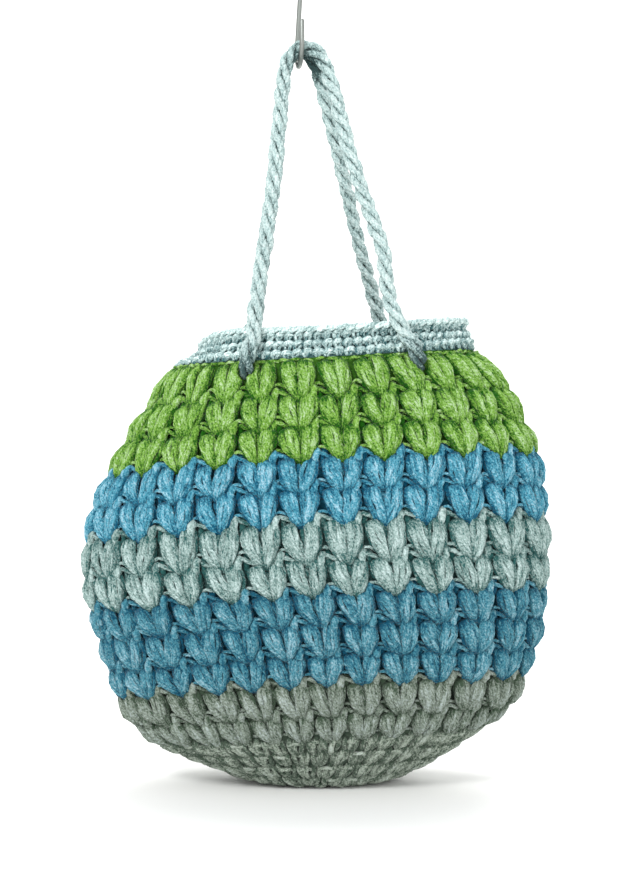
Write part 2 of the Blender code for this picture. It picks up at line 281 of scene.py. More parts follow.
# The bag's bed. Behind the raised stitches lies the even fabric that they are drawn up from, one
# closed wall from the outside over the rim to the inside, in the same bands of coloured yarn.
# Outside, the bed is drawn mostly in each band's darker colour, as painted shade behind the raised
# stitches.
Edge = namedtuple("Edge", "name middle_z side_z left right depth wall")
EDGES = [  # between the rounds, from the rim down and on across the underside
    Edge("rim", 257.0, 261.0, 67.0, 86.0, 48.0, 5.0),
    Edge("band 1", 252.0, 256.0, 72.0, 88.0, 49.5, 5.0),
    Edge("band 2", 247.0, 251.0, 77.0, 90.5, 51.5, 5.5),
    Edge("band foot", 241.7, 245.5, 84.0, 93.5, 54.0, 7.0),
    Edge("green 1", 222.5, 223.9, 99.0, 111.5, 57.0, 10.0),
    Edge("green 2", 205.5, 204.7, 111.5, 120.7, 59.0, 10.5),
    Edge("green 3", 188.0, 185.4, 122.0, 128.7, 60.0, 10.5),
    Edge("blue 1", 171.0, 167.0, 130.5, 131.8, 60.5, 10.5),
    Edge("blue 2", 153.6, 148.0, 135.0, 134.0, 61.0, 10.5),
    Edge("grey 1", 132.5, 126.5, 136.0, 135.0, 61.0, 10.5),
    Edge("grey 2", 114.0, 107.5, 133.0, 134.5, 60.5, 10.5),
    Edge("blue 3", 97.5, 90.5, 128.0, 132.0, 59.0, 10.5),
    Edge("blue 4", 80.0, 72.5, 123.0, 128.5, 57.0, 10.5),
    Edge("blue 5", 64.4, 56.4, 118.0, 122.5, 54.5, 10.5),
    Edge("grey 3", 46.0, 39.5, 108.5, 114.5, 50.5, 10.0),
    Edge("grey 4", 31.0, 26.6, 94.0, 99.0, 45.0, 8.0),
    Edge("base 1", 22.4, 19.0, 81.0, 86.0, 40.0, 6.0),
    Edge("base 2", 14.0, 12.0, 68.0, 72.0, 34.0, 6.0),
    Edge("base 3", 6.0, 5.5, 55.0, 57.0, 28.0, 6.0),
    Edge("floor", 0.0, 0.0, 39.0, 41.0, 21.0, 6.0),
    Edge("under 1", 0.0, 0.0, 29.0, 31.0, 11.0, 6.0),
    Edge("under middle", 0.0, 0.0, 20.0, 22.0, 0.0, 6.0),
]
BAND_FOOT = 3
BASE_TOP = 15
UNDER_MIDDLE = len(EDGES) - 1
TILT = math.tan(math.radians(3.0))  # of the bag as it hangs, up to the right
TILT_FROM_Z = 24.0  # the height by which the tilt is full
DROOP = 5.5  # of the rim at its left end
DROOP_FROM_X = 47.0
DROOP_RUN = 20.0  # to the left of that, by which it is reached
LEVEL_STEPS = 16
TURN_STEPS = 720
ARC_STEPS = 360
HEARTS = 26
HEART_OFFSET = 0.15  # of a heart, to the right at the neck band
HEART_DRIFT = 0.10  # of a heart, to the right in each round down
HEARTS_APART = (0.14, -0.08)  # how much wider at the front and back, at the neck and below
ROUNDS_TO_EVEN = 5  # down to where the second of these holds
TINY = 1e-9


def bag_surface():
    """Points in mm of the smooth surface over the stitches, and its outward directions, at steps
    of level down the bag and of turn round it from the back, by the left, to the back again."""
    levels = np.arange(UNDER_MIDDLE * LEVEL_STEPS + 1) / LEVEL_STEPS
    rows = np.array([edge[1:] for edge in EDGES])
    low = np.minimum(levels.astype(int), UNDER_MIDDLE - 1)
    share = (levels - low)[:, None]
    before, start, end, after = (rows[np.clip(low + i, 0, UNDER_MIDDLE)] for i in (-1, 0, 1, 2))
    read = start + 0.5 * share * (
        end - before
        + share * (2 * before - 5 * start + 4 * end - after
                   + share * (3 * (start - end) + after - before))
    )
    turns = np.arange(TURN_STEPS + 1) / TURN_STEPS - 0.5
    angles = np.linspace(0.0, math.pi, ARC_STEPS + 1)
    points = np.empty((len(levels), len(turns), 3))
    for i, (middle_z, side_z, left, right, depth, _) in enumerate(read):
        half_width = (left + right) / 2
        speed = np.hypot(half_width * np.cos(angles), depth * np.sin(angles))
        run = np.concatenate([[0.0], np.cumsum((speed[1:] + speed[:-1]) / 2)])
        angle = np.sign(turns) * np.interp(2 * np.abs(turns), run / run[-1], angles)
        x = (right - left) / 2 + half_width * np.sin(angle)
        z = side_z + (middle_z - side_z) * np.cos(angle) ** 2
        past = np.clip(-(x + DROOP_FROM_X) / DROOP_RUN, 0.0, 2.0)
        droop = max(1 - levels[i] / BAND_FOOT, 0.0) * past ** 2
        hang = np.clip(z / TILT_FROM_Z, 0.0, 1.0)
        points[i, :, 0] = x
        points[i, :, 1] = -depth * np.cos(angle)
        points[i, :, 2] = z - DROOP * droop + TILT * x * hang * hang * (3 - 2 * hang)
    down = np.gradient(points, axis=0)
    around = np.roll(points[:, :-1], -1, axis=1) - np.roll(points[:, :-1], 1, axis=1)
    around = np.concatenate([around, around[:, :1]], axis=1)
    out = np.cross(down, around)
    out /= np.linalg.norm(out, axis=2, keepdims=True) + TINY
    return np.concatenate([points, out], axis=2), read[:, -1]


SURFACE, WALL = bag_surface()


def on_bag(turn, level, lift):
    """Points in mm that lie lift mm off the smooth surface, none below what the bag stands on."""
    turn, level, lift = np.broadcast_arrays(turn, level, lift)
    column = ((turn + 0.5) % 1.0) * TURN_STEPS
    row = np.clip(level, 0.0, UNDER_MIDDLE) * LEVEL_STEPS
    i = np.minimum(row.astype(int), len(SURFACE) - 2)
    j = np.minimum(column.astype(int), TURN_STEPS - 1)
    down = (row - i)[..., None]
    along = (column - j)[..., None]
    read = (1 - down) * ((1 - along) * SURFACE[i, j] + along * SURFACE[i, j + 1])
    read = read + down * ((1 - along) * SURFACE[i + 1, j] + along * SURFACE[i + 1, j + 1])
    points = read[..., :3] + read[..., 3:] * lift[..., None]
    points[..., 2] = np.maximum(points[..., 2], 0.0)
    return points


def heart_turn(heart, level):
    """Turn of the middle of a heart. Hearts count from the front middle to the right."""
    down = np.clip((level - BAND_FOOT) / ROUNDS_TO_EVEN, 0.0, 1.0)
    apart = HEARTS_APART[0] + (HEARTS_APART[1] - HEARTS_APART[0]) * down
    even = (heart + HEART_OFFSET + HEART_DRIFT * (level - BAND_FOOT)) / HEARTS
    return even + apart * np.sin(4 * math.pi * even) / (4 * math.pi)


# The bands of yarn: the levels between which each lies, and its colour where light falls on it
# straight, where its fibres stand out, and a darker one for its darker fibres and for the painted
# shade far in between the stitches.
Band = namedtuple("Band", "name kind start end yarn light dark")
BANDS = [
    Band("neck", "plain", 0, 3,
         (0.375, 0.51, 0.50), (0.80, 0.94, 0.92), (0.035, 0.12, 0.13)),
    Band("green", "puffs", 3, 6,
         (0.182, 0.36, 0.053), (0.42, 0.58, 0.33), (0.009, 0.085, 0.002)),
    Band("blue_upper", "puffs", 6, 8,
         (0.072, 0.295, 0.395), (0.34, 0.55, 0.65), (0.003, 0.08, 0.145)),
    Band("grey_upper", "puffs", 8, 10,
         (0.265, 0.372, 0.352), (0.51, 0.64, 0.63), (0.021, 0.092, 0.087)),
    Band("blue_lower", "puffs", 10, 13,
         (0.060, 0.22, 0.28), (0.27, 0.44, 0.51), (0.003, 0.065, 0.115)),
    Band("grey_lower", "puffs", 13, 15,
         (0.215, 0.257, 0.215), (0.36, 0.425, 0.405), (0.044, 0.072, 0.045)),
    Band("base", "plain", 15, 21,
         (0.315, 0.368, 0.305), (0.44, 0.505, 0.46), (0.062, 0.092, 0.066)),
]
BED_COLUMNS = HEARTS * 8
BED_DEPTH = {"plain": 3.2, "puffs": 7.6}  # under the smooth surface
BED_ROWS_PER_LEVEL = 3
INSIDE_ROWS_PER_LEVEL = 2
INSIDE_LUMP = 1.4
INSIDE_LUMP_ACROSS = 0.4  # of a lump's height, how much it varies along a round of hearts
RIM_RISE = 0.5
BED_WELD = 0.00001
CROWN_REACH = 0.12  # of a round, from its upper edge to the tops of its hearts
BED_UNSHADED_SHARES = (0.2, 0.85)  # of a band's own colour, the rest its darker colour as painted shade, outside and inside
BED_FINISH = {"color": (0.2, 0.3, 0.3), "roughness": 0.95, "Specular_IOR_Level": 0.1}
BED_SHADE_AND_TONE = (0.3, 0.35, 0.35)  # painted shade in the hollows between lumps, and darker fibres at random, take the colour towards this
LUMPS_PER_M = 230.0
FIBRES_PER_M = 1100.0
LUMP_SHADE = 1.1
FIBRE_TONE = 0.5
LEAST_SHADE_AND_TONE = 0.3
BED_FIBRE_RELIEF = 0.3
BED_RELIEF = {"Strength": 0.9, "Distance": 0.0022}


def bed_rows():
    """One (level, share of the wall's thickness that lies outside it) for each row of the bed:
    up the outside, once along the middle of the rim, and down the inside."""
    outside = [(UNDER_MIDDLE - i / BED_ROWS_PER_LEVEL, 0.0)
               for i in range(UNDER_MIDDLE * BED_ROWS_PER_LEVEL + 1)]
    inside = [(i / INSIDE_ROWS_PER_LEVEL, 1.0)
              for i in range(UNDER_MIDDLE * INSIDE_ROWS_PER_LEVEL + 1)]
    return np.array(outside + [(0.0, 0.5)] + inside)


def bed_points(rows):
    """The bed's points in mm, a row for each of its rows and a column for each step round."""
    level, share = rows[:, :1], rows[:, 1:]
    turn = np.linspace(-0.5, 0.5, BED_COLUMNS + 1)[None, :]
    puffs = np.clip(np.minimum(level - BAND_FOOT, BASE_TOP - level), 0.0, 1.0)
    outer = BED_DEPTH["plain"] + (BED_DEPTH["puffs"] - BED_DEPTH["plain"]) * puffs
    wall = np.interp(level, np.arange(len(WALL)) / LEVEL_STEPS, WALL)
    beside = np.cos(2 * math.pi * HEARTS * turn)
    across = 1 - INSIDE_LUMP_ACROSS + INSIDE_LUMP_ACROSS * puffs * beside
    lump = INSIDE_LUMP * np.sin(math.pi * level) ** 2 * across
    depth = np.where(share == 1.0, wall - lump, outer)
    points = on_bag(turn, level, -depth)
    points[share[:, 0] == 0.5, :, 2] += RIM_RISE
    points[[0, -1], :, 1] = 0.0
    return points


def note(mesh, label, value):
    """Gives each point of a mesh a number that its material reads."""
    mesh.attributes.new(label, "FLOAT", "POINT").data.foreach_set(
        "value", value.astype(np.float32).ravel()
    )


rows = bed_rows()
bpy.ops.object.select_all(action="DESELECT")
bpy.ops.mesh.primitive_grid_add(
    x_subdivisions=BED_COLUMNS, y_subdivisions=len(rows) - 1, size=1.0
)
bed = bpy.context.object
bed.name = "fabric_bed"
spot = np.empty(len(bed.data.vertices) * 3)
bed.data.vertices.foreach_get("co", spot)
spot = spot.reshape(-1, 3)
column = np.rint((spot[:, 0] + 0.5) * BED_COLUMNS).astype(int)
row = np.rint((spot[:, 1] + 0.5) * (len(rows) - 1)).astype(int)
bed.data.vertices.foreach_set("co", (bed_points(rows)[row, column] * MM).ravel())
note(bed.data, "level", rows[row, 0])
note(bed.data, "inside", rows[row, 1])
weld(bed, BED_WELD)


def bed_finish():
    """Matt yarn in bands of colour, lumpy all over, with darker fibres at random and painted shade
    between the raised stitches and in the hollows between lumps.
    """
    finish = Finish("bed_yarn", **BED_FINISH)
    level = finish.noted("level")
    inside = finish.noted("inside")
    colors = []
    for share in BED_UNSHADED_SHARES:
        colors.append(finish.node("ShaderNodeValToRGB", {}, level * (1 / UNDER_MIDDLE)))
        stops = colors[-1].socket.node.color_ramp
        stops.interpolation = "CONSTANT"
        while len(stops.elements) < len(BANDS):
            stops.elements.new(0.5)
        for stop, band in zip(stops.elements, BANDS):
            start = max(band.start - CROWN_REACH * (band.kind == "puffs"), 0.0)
            mixed = [share * part + (1 - share) * low for part, low in zip(band.yarn, band.dark)]
            stop.position = start / UNDER_MIDDLE
            stop.color = (*mixed, 1.0)
    place = finish.node("ShaderNodeTexCoord", {}, output="Object")
    lumps = finish.node("ShaderNodeTexVoronoi", {"feature": "F1"}, Vector=place, Scale=LUMPS_PER_M)
    fibres = finish.node("ShaderNodeTexNoise", {}, Vector=place, Scale=FIBRES_PER_M, Detail=3.0)
    color = finish.node("ShaderNodeMix", {"data_type": "RGBA"}, output="Result_Color",
                        Factor_Float=inside, A_Color=colors[0], B_Color=colors[1])
    # Painted shade in the hollows between lumps, and darker fibres at random.
    shade_and_tone = lumps * LUMP_SHADE + fibres * FIBRE_TONE - LEAST_SHADE_AND_TONE
    shaded_color = finish.node("ShaderNodeMix", {"data_type": "RGBA", "blend_type": "MULTIPLY"},
                       output="Result_Color", Factor_Float=shade_and_tone, A_Color=color,
                       B_Color=(*BED_SHADE_AND_TONE, 1.0))
    finish.set("Base Color", shaded_color)
    height = fibres * BED_FIBRE_RELIEF - lumps
    finish.set("Normal", finish.node("ShaderNodeBump", {}, Height=height, **BED_RELIEF))
    return finish.material


bed.data.materials.append(bed_finish())
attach(bed, "root")
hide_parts("bag_body")


# The yarn. Every raised stitch is made of short lengths of soft yarn. One length is modelled, a
# round rod with rings and rounded ends, and each length in the bag is a copy of it that is bent
# along its own way and has its own thickness and shade.
YARN_SIDES = 5
YARN_END = 0.5  # of its radius, by which the middle of each end stands out
YARN_TWIST = 4.5  # mm of yarn, for one turn of its plies
YARN_PLIES = 2
FIBRES_ROUND = 8.0  # streaks of fibre round a length
FIBRES_ALONG = 1.1  # and along one turn of its plies
FIBRE_LEAN = 0.15
FIBRE_OFFSET = 50.0  # in the pattern, from one shade of yarn to the next
PATCHES_PER_M = 220.0
FIBRE_LIGHT = 1.4  # how much lighter the yarn is where each of these is strongest
FUZZ_LIGHT = 1.4
PATCH_LIGHT = 0.6
PLY_LIGHT = 0.05
SHADE_LIGHT = 0.5
# painted shade: how much darker a length is drawn where it lies far in
PAINTED_SHADE_DARK = 0.78
MIDDLE_DARK = 1.17  # taken off all of it, so that most of it has the yarn's own colour
PLY_RELIEF = 0.3
FIBRE_RELIEF = 0.9
YARN_RELIEF = {"Strength": 0.85, "Distance": 0.0007}
YARN_FINISH = {"roughness": 0.95, "Specular_IOR_Level": 0.1, "Sheen_Weight": 0.1}


def either_way(chance, reach, shape):
    """Random numbers from minus this reach up to it."""
    return chance.uniform(-reach, reach, shape)


def model_yarn(rings):
    """Ring, angle and reach of each corner of one length, and its faces as corner numbers. The
    reach is 1, or 0 in the middle of an end."""
    bpy.ops.object.select_all(action="DESELECT")
    bpy.ops.mesh.primitive_cylinder_add(
        vertices=YARN_SIDES, radius=1.0, depth=rings - 1, end_fill_type="TRIFAN"
    )
    length = bpy.context.object
    bpy.ops.object.mode_set(mode="EDIT")
    bpy.ops.mesh.select_mode(type="EDGE")
    select_parts("edges", lambda middle: abs(middle.z) < AT_EDGE)
    bpy.ops.mesh.subdivide_edgering(number_cuts=rings - 2, interpolation="LINEAR")
    bpy.ops.object.mode_set(mode="OBJECT")
    spot = np.array([vert.co for vert in length.data.vertices])
    ring = np.rint(spot[:, 2] + (rings - 1) / 2).astype(int)
    angle = np.arctan2(spot[:, 1], spot[:, 0])
    reach = np.rint(np.hypot(spot[:, 0], spot[:, 1]))
    faces = [list(face.vertices) for face in length.data.polygons]
    bpy.data.objects.remove(length)
    return ring, angle, reach, faces


def lay_yarn(name, ways, radii, shades, deep):
    """A piece made of copies of a length of yarn. Ways holds points in mm for each length and
    ring, radii a thickness for each, shades a number for each length, and the last argument
    a painted shade for each length and ring, from 0 where yarn lies open to 1 where it lies far in."""
    count, rings, _ = ways.shape
    ring, angle, reach, faces = model_yarn(rings)
    along = np.gradient(ways, axis=1)
    along /= np.linalg.norm(along, axis=2, keepdims=True) + TINY
    side = np.empty_like(ways)
    start = np.cross(along[:, 0], (0.31, 0.52, 0.79))  # a direction that no length starts in
    side[:, 0] = start / np.linalg.norm(start, axis=1, keepdims=True)
    for i in range(1, rings):
        next_side = side[:, i - 1] - along[:, i] * np.sum(
            side[:, i - 1] * along[:, i], axis=1, keepdims=True
        )
        side[:, i] = next_side / np.linalg.norm(next_side, axis=1, keepdims=True)
    over = np.cross(along, side)
    spoke = side[:, ring] * np.cos(angle)[:, None] + over[:, ring] * np.sin(angle)[:, None]
    end = (1 - reach) * np.where(ring == 0, -YARN_END, YARN_END)
    offset = spoke * reach[:, None] + along[:, ring] * end[:, None]
    points = ways[:, ring] + radii[:, ring, None] * offset
    points[..., 2] = np.maximum(points[..., 2], 0.0)

    run = np.linalg.norm(np.diff(ways, axis=1), axis=2)
    run = np.concatenate([np.zeros((count, 1)), np.cumsum(run, axis=1)], axis=1)
    corners = np.array([corner for face in faces for corner in face])
    sizes = np.array([len(face) for face in faces])
    first = np.concatenate([[0], np.cumsum(sizes)[:-1]])
    share = angle / (2 * math.pi) % 1.0
    u = share[corners].copy()
    for begin, size in zip(first, sizes):
        part = u[begin:begin + size]
        if part.max() - part.min() > 0.5:
            part[part < 0.5] += 1.0
    shift = np.arange(count)[:, None] * len(ring)
    mesh = bpy.data.meshes.new(name)
    mesh.vertices.add(points.shape[0] * points.shape[1])
    mesh.vertices.foreach_set("co", (points * MM).astype(np.float32).ravel())
    mesh.loops.add(count * len(corners))
    mesh.loops.foreach_set("vertex_index", (corners + shift).astype(np.int32).ravel())
    mesh.polygons.add(count * len(sizes))
    starts = first + np.arange(count)[:, None] * len(corners)
    mesh.polygons.foreach_set("loop_start", starts.astype(np.int32).ravel())
    mesh.polygons.foreach_set("loop_total", np.tile(sizes, count).astype(np.int32))
    mesh.polygons.foreach_set("use_smooth", np.ones(count * len(sizes), dtype=bool))
    mesh.update(calc_edges=True)
    v = run[:, ring[corners]] / YARN_TWIST
    plies = mesh.uv_layers.new(name="plies")
    plies.data.foreach_set(
        "uv", np.stack([np.broadcast_to(u, v.shape), v], axis=2).astype(np.float32).ravel()
    )
    note(mesh, "shade", np.repeat(shades, len(ring)))
    note(mesh, "deep", deep[:, ring])
    mesh.validate()
    piece = bpy.data.objects.new(name, mesh)
    bpy.context.scene.collection.objects.link(piece)
    return piece


def yarn_finish(name, color, light, dark):
    """Soft matt yarn: fine fibres along twisted plies, lighter where fibres stand out, darker with
    painted shade where a length lies far in, and a little uneven in shade."""
    finish = Finish(name, color, **YARN_FINISH)
    uv = finish.node("ShaderNodeUVMap", {"uv_map": "plies"})
    around = finish.node("ShaderNodeSeparateXYZ", {}, uv, output="X")
    along = finish.node("ShaderNodeSeparateXYZ", {}, uv, output="Y")
    ply_turn = (around + along) * (2 * math.pi * YARN_PLIES)
    plies = finish.node("ShaderNodeMath", {"operation": "SINE"}, ply_turn)
    shade = finish.noted("shade")
    fibre_at = finish.node("ShaderNodeCombineXYZ", {}, (around + along * FIBRE_LEAN) * FIBRES_ROUND,
                           along * FIBRES_ALONG, shade * FIBRE_OFFSET)
    fibres = finish.node("ShaderNodeTexNoise", {}, Vector=fibre_at, Scale=1.0, Detail=3.0)
    place = finish.node("ShaderNodeTexCoord", {}, output="Object")
    fuzz = finish.node("ShaderNodeTexNoise", {}, Vector=place, Scale=FIBRES_PER_M, Detail=2.0)
    patches = finish.node("ShaderNodeTexNoise", {}, Vector=place, Scale=PATCHES_PER_M, Detail=2.0)
    # The painted shade that each length carries, darker where it lies far in among the others.
    deep = finish.noted("deep")
    bright = fibres * FIBRE_LIGHT + fuzz * FUZZ_LIGHT + patches * PATCH_LIGHT + plies * PLY_LIGHT
    bright = bright - MIDDLE_DARK + shade * SHADE_LIGHT - deep * PAINTED_SHADE_DARK
    mix = {"data_type": "RGBA", "clamp_factor": True}
    low = finish.node("ShaderNodeMix", mix, output="Result_Color", Factor_Float=bright * 2.0,
                      A_Color=(*dark, 1.0), B_Color=(*color, 1.0))
    high = finish.node("ShaderNodeMix", mix, output="Result_Color", Factor_Float=bright * 2.0 - 1.0,
                       A_Color=low, B_Color=(*light, 1.0))
    finish.set("Base Color", high)
    height = plies * PLY_RELIEF + fibres * FIBRE_RELIEF + fuzz * FIBRE_RELIEF
    finish.set("Normal", finish.node("ShaderNodeBump", {}, Height=height, **YARN_RELIEF))
    return finish.material


# The handles. Two cords of three strands laid in an S twist, each strand of four soft yarns. Both
# ends of a cord go through the fabric between two hearts, just under the neck band, and its loop
# lies in the hook. A cord's way is the solid's.
CORD_RADIUS = 4.4
CORD_STEP = 1.25
CORD_STRANDS = 3
STRAND_YARNS = 4
LAY_LENGTH = 33.0  # of cord, for one turn of its strands
YARN_LAY_LENGTH = 9.5  # of a strand, for one turn of its yarns
STRAND_REACH = 2.4  # of a strand's middle, from the cord's
STRAND_YARN_REACH = 0.85  # of a yarn's middle, from its strand's
STRAND_YARN_RADIUS = 1.38
STRAND_BREADTH = 1.15  # of a strand, for its depth
STRAND_SLACK = 0.3
STRAND_SLACK_RUN = 17.0
SLACK_PHASES = (0.0, 6.0)
YARN_SLACK = 0.5
YARN_SLACK_RUN = 7.0
CORD_YARN_UNEVEN = 0.12  # of its thickness
CORD_SHADES = (0.3, 0.6)
CORD_CLEARANCE = 0.3
CORD_SEED = 40
FRONT_STEPS = 180  # from the left end of the bag to the right one
ROOT_HEART = 2.5  # a cord goes in between the second and the third heart from the middle
ROOT_LEVEL = 3.36
ROOT_REACH = 34.0  # of a cord, from its end to where it is clear of the stitches
SHADED_RUN = 36.0  # of a cord, from its end to where the fabric no longer shades it
SHADED_FADE = 16.0
HOOK_SEAT = (HOOK_X + 4.0, 0.0, 414.0)  # under the arch of the cords, where least light falls
HOOK_SEAT_SHADE = 1.5
HOOK_SEAT_REACH = 10.0
MOST_STRAND_SHADE = 0.5  # the most painted shade on what lies between the strands
STRAND_SHADE_RUN = 2.6
# Where a handle's left and right legs pass the rim, across the bag from its middle, and how each
# turns from there to its root: evenly at 1, and the less, the later.
Rim = namedtuple("Rim", "x turn")
FRONT_RIM = {-1: Rim(-32.9, 0.35), 1: Rim(43.7, 0.55)}
BACK_RIM = {-1: Rim(-41.5, 1.0), 1: Rim(41.0, 1.0)}
Root = namedtuple("Root", "share level lift")
ROOTS = [
    Root(0.0, ROOT_LEVEL, -19.0),
    Root(0.0, ROOT_LEVEL, -13.0),
    Root(0.0, ROOT_LEVEL, -7.0),
    Root(0.02, ROOT_LEVEL - 0.04, -1.0),
    Root(0.16, ROOT_LEVEL - 0.27, 3.8),
    Root(0.45, 2.55, 5.6),
    Root(0.72, 1.6, 5.3),
    Root(1.0, 0.5, 5.4),
]
Pass = namedtuple("Pass", "x y z")
FRONT_RUN = [
    Pass(-33.2, -43.5, 272.0), Pass(-30.0, -37.5, 296.0), Pass(-24.6, -26.0, 338.0),
    Pass(-21.5, -15.5, 376.0), Pass(-19.4, -8.6, 403.0), Pass(-16.2, -5.6, 416.8),
    Pass(-9.9, -4.9, 423.6), Pass(-3.4, -5.2, 422.9), Pass(2.4, -6.0, 417.2),
    Pass(7.4, -9.0, 404.5), Pass(12.2, -14.5, 386.0), Pass(20.5, -25.0, 351.0),
    Pass(29.8, -33.5, 322.0), Pass(37.4, -41.0, 294.0), Pass(40.0, -45.4, 272.0),
]
BACK_RUN = [
    Pass(-38.6, 43.5, 272.0), Pass(-34.8, 36.5, 298.0), Pass(-27.8, 25.0, 340.0),
    Pass(-23.0, 14.0, 378.0), Pass(-20.4, 8.6, 401.0), Pass(-17.6, 5.2, 416.6),
    Pass(-11.0, 4.5, 423.4), Pass(-5.0, 4.7, 422.0), Pass(-0.2, 6.0, 414.6),
    Pass(4.0, 8.8, 400.5), Pass(10.6, 15.5, 376.0), Pass(19.0, 27.0, 342.0),
    Pass(27.8, 35.5, 308.0), Pass(35.4, 41.8, 282.0), Pass(38.6, 44.2, 270.0),
]


def turn_at(x, level):
    """The turn at the front where the surface is this far across."""
    front = np.linspace(-0.25, 0.25, FRONT_STEPS + 1)
    return np.interp(x, on_bag(front, level, 0.0)[:, 0], front)


def root_points(side, facing, rim):
    """A cord's points from its end inside the bag to the rim. Side is -1 for left and 1 for
    right, and facing is 1 at the front and -1 at the back."""
    start_x = on_bag(heart_turn(side * ROOT_HEART, ROOT_LEVEL), ROOT_LEVEL, 0.0)[0]
    points = []
    for root in ROOTS:
        share = root.share ** rim[side].turn
        turn = turn_at(start_x + share * (rim[side].x - start_x), root.level)
        points.append(on_bag(turn if facing > 0 else 0.5 - turn, root.level, root.lift))
    return points


def smooth_route(points, step):
    """Points about a step apart on a natural cubic spline through these points."""
    points = np.array(points)
    knots = np.concatenate([[0.0], np.cumsum(np.linalg.norm(np.diff(points, axis=0), axis=1))])
    gaps = np.diff(knots)
    weights = np.eye(len(points))
    changes = np.zeros_like(points)
    for i in range(1, len(points) - 1):
        weights[i, i - 1:i + 2] = gaps[i - 1], 2 * (gaps[i - 1] + gaps[i]), gaps[i]
        slopes = (points[i + 1] - points[i]) / gaps[i], (points[i] - points[i - 1]) / gaps[i - 1]
        changes[i] = 6 * (slopes[0] - slopes[1])
    bends = np.linalg.solve(weights, changes)
    at = np.linspace(0.0, knots[-1], round(knots[-1] / step) + 1)
    i = np.clip(np.searchsorted(knots, at, side="right") - 1, 0, len(gaps) - 1)
    gap = gaps[i][:, None]
    before = (knots[i + 1] - at)[:, None] / gap
    after = 1 - before
    lift = (before**3 - before) * bends[i] + (after**3 - after) * bends[i + 1]
    return before * points[i] + after * points[i + 1] + lift * gap**2 / 6


def cord_yarns(route, chance):
    """Ways of the yarns of a cord along its route, by strand and by yarn in the strand."""
    run = np.concatenate([[0.0], np.cumsum(np.linalg.norm(np.diff(route, axis=0), axis=1))])
    along = np.gradient(route, axis=0)
    along /= np.linalg.norm(along, axis=1, keepdims=True)
    side = np.empty_like(route)
    side[0] = np.cross(along[0], (0.0, 0.0, 1.0))
    for i in range(1, len(route)):
        side[i] = side[i - 1] - along[i] * np.dot(side[i - 1], along[i])
        side[i] /= np.linalg.norm(side[i])
    over = np.cross(along, side)
    ways = []
    for strand in range(CORD_STRANDS):
        slack = STRAND_SLACK * np.sin(run / STRAND_SLACK_RUN + chance.uniform(*SLACK_PHASES))
        angle = (strand / CORD_STRANDS - run / LAY_LENGTH) * 2 * math.pi
        for yarn in range(STRAND_YARNS):
            twist = (yarn / STRAND_YARNS + run / YARN_LAY_LENGTH) * 2 * math.pi
            twist += YARN_SLACK * np.sin(run / YARN_SLACK_RUN + chance.uniform(*SLACK_PHASES))
            reach = STRAND_REACH + slack + STRAND_YARN_REACH * np.cos(twist)
            off = STRAND_BREADTH * STRAND_YARN_REACH * np.sin(twist)
            right = reach * np.cos(angle) - off * np.sin(angle)
            up = reach * np.sin(angle) + off * np.cos(angle)
            ways.append(route + side * right[:, None] + over * up[:, None])
    return np.array(ways)


# The cord's yarn colour, where its fibres stand out, and a darker one for its darker fibres and for
# painted shade.
CORD_COLORS = ((0.355, 0.48, 0.475), (0.58, 0.69, 0.675), (0.05, 0.095, 0.095))
CORDS = {"front": (FRONT_RUN, 1, FRONT_RIM), "back": (BACK_RUN, -1, BACK_RIM)}
cord_yarn = yarn_finish("yarn_cord", *CORD_COLORS)
cord_roots = []
for name, (run, facing, rim) in CORDS.items():
    left, right = (root_points(side, facing, rim) for side in (-1, 1))
    route = smooth_route([*left, *run, *reversed(right)], CORD_STEP)
    root = round(ROOT_REACH / CORD_STEP)
    cord_roots += [route[:root], route[-root:]]
    chance = np.random.default_rng(CORD_SEED + facing)
    ways = cord_yarns(route, chance)
    radii = STRAND_YARN_RADIUS * (1 + either_way(chance, CORD_YARN_UNEVEN, ways.shape[:2]))
    shades = chance.uniform(*CORD_SHADES, len(ways))
    # Painted shade on the cord: darker between its strands, near its ends where the fabric shades
    # it, and under the arch in the hook.
    out = np.linalg.norm(ways - route, axis=2)
    between = (CORD_RADIUS - STRAND_YARN_RADIUS - out) / STRAND_SHADE_RUN
    end_run = np.minimum(np.arange(len(route)), np.arange(len(route))[::-1]) * CORD_STEP
    sunk = np.clip((SHADED_RUN - end_run) / SHADED_FADE, 0.0, 1.0)
    from_seat = np.linalg.norm(ways - np.array(HOOK_SEAT), axis=2) / HOOK_SEAT_REACH
    under = HOOK_SEAT_SHADE * np.exp(-from_seat ** 2)
    deep = np.clip(np.clip(between, 0.0, MOST_STRAND_SHADE) + sunk + under, 0.0, HOOK_SEAT_SHADE)
    handle = lay_yarn("handle_cord_" + name, ways, radii, shades, deep)
    handle.data.materials.append(cord_yarn)
    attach(handle, "root")
    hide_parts("handle_" + name)
cord_roots = np.concatenate(cord_roots)
CORD_PUSHES = 3  # a point pushed off one cord's point can come near another of its points


def clear_of_cords(points, radius):
    """Moves points aside that would lie in a cord's end where it goes through the fabric."""
    flat = points.reshape(-1, 3)
    reach = CORD_RADIUS + CORD_CLEARANCE + radius
    low, high = cord_roots.min(axis=0) - reach, cord_roots.max(axis=0) + reach
    near = np.flatnonzero(np.all((flat > low) & (flat < high), axis=1))
    for _ in range(CORD_PUSHES):
        gaps = flat[near, None] - cord_roots[None]
        far = np.linalg.norm(gaps, axis=2)
        closest = np.argmin(far, axis=1)
        pick = np.arange(len(near))
        short = np.maximum(reach - far[pick, closest], 0.0)
        flat[near] += gaps[pick, closest] * (short / (far[pick, closest] + TINY))[:, None]
    return flat.reshape(points.shape)


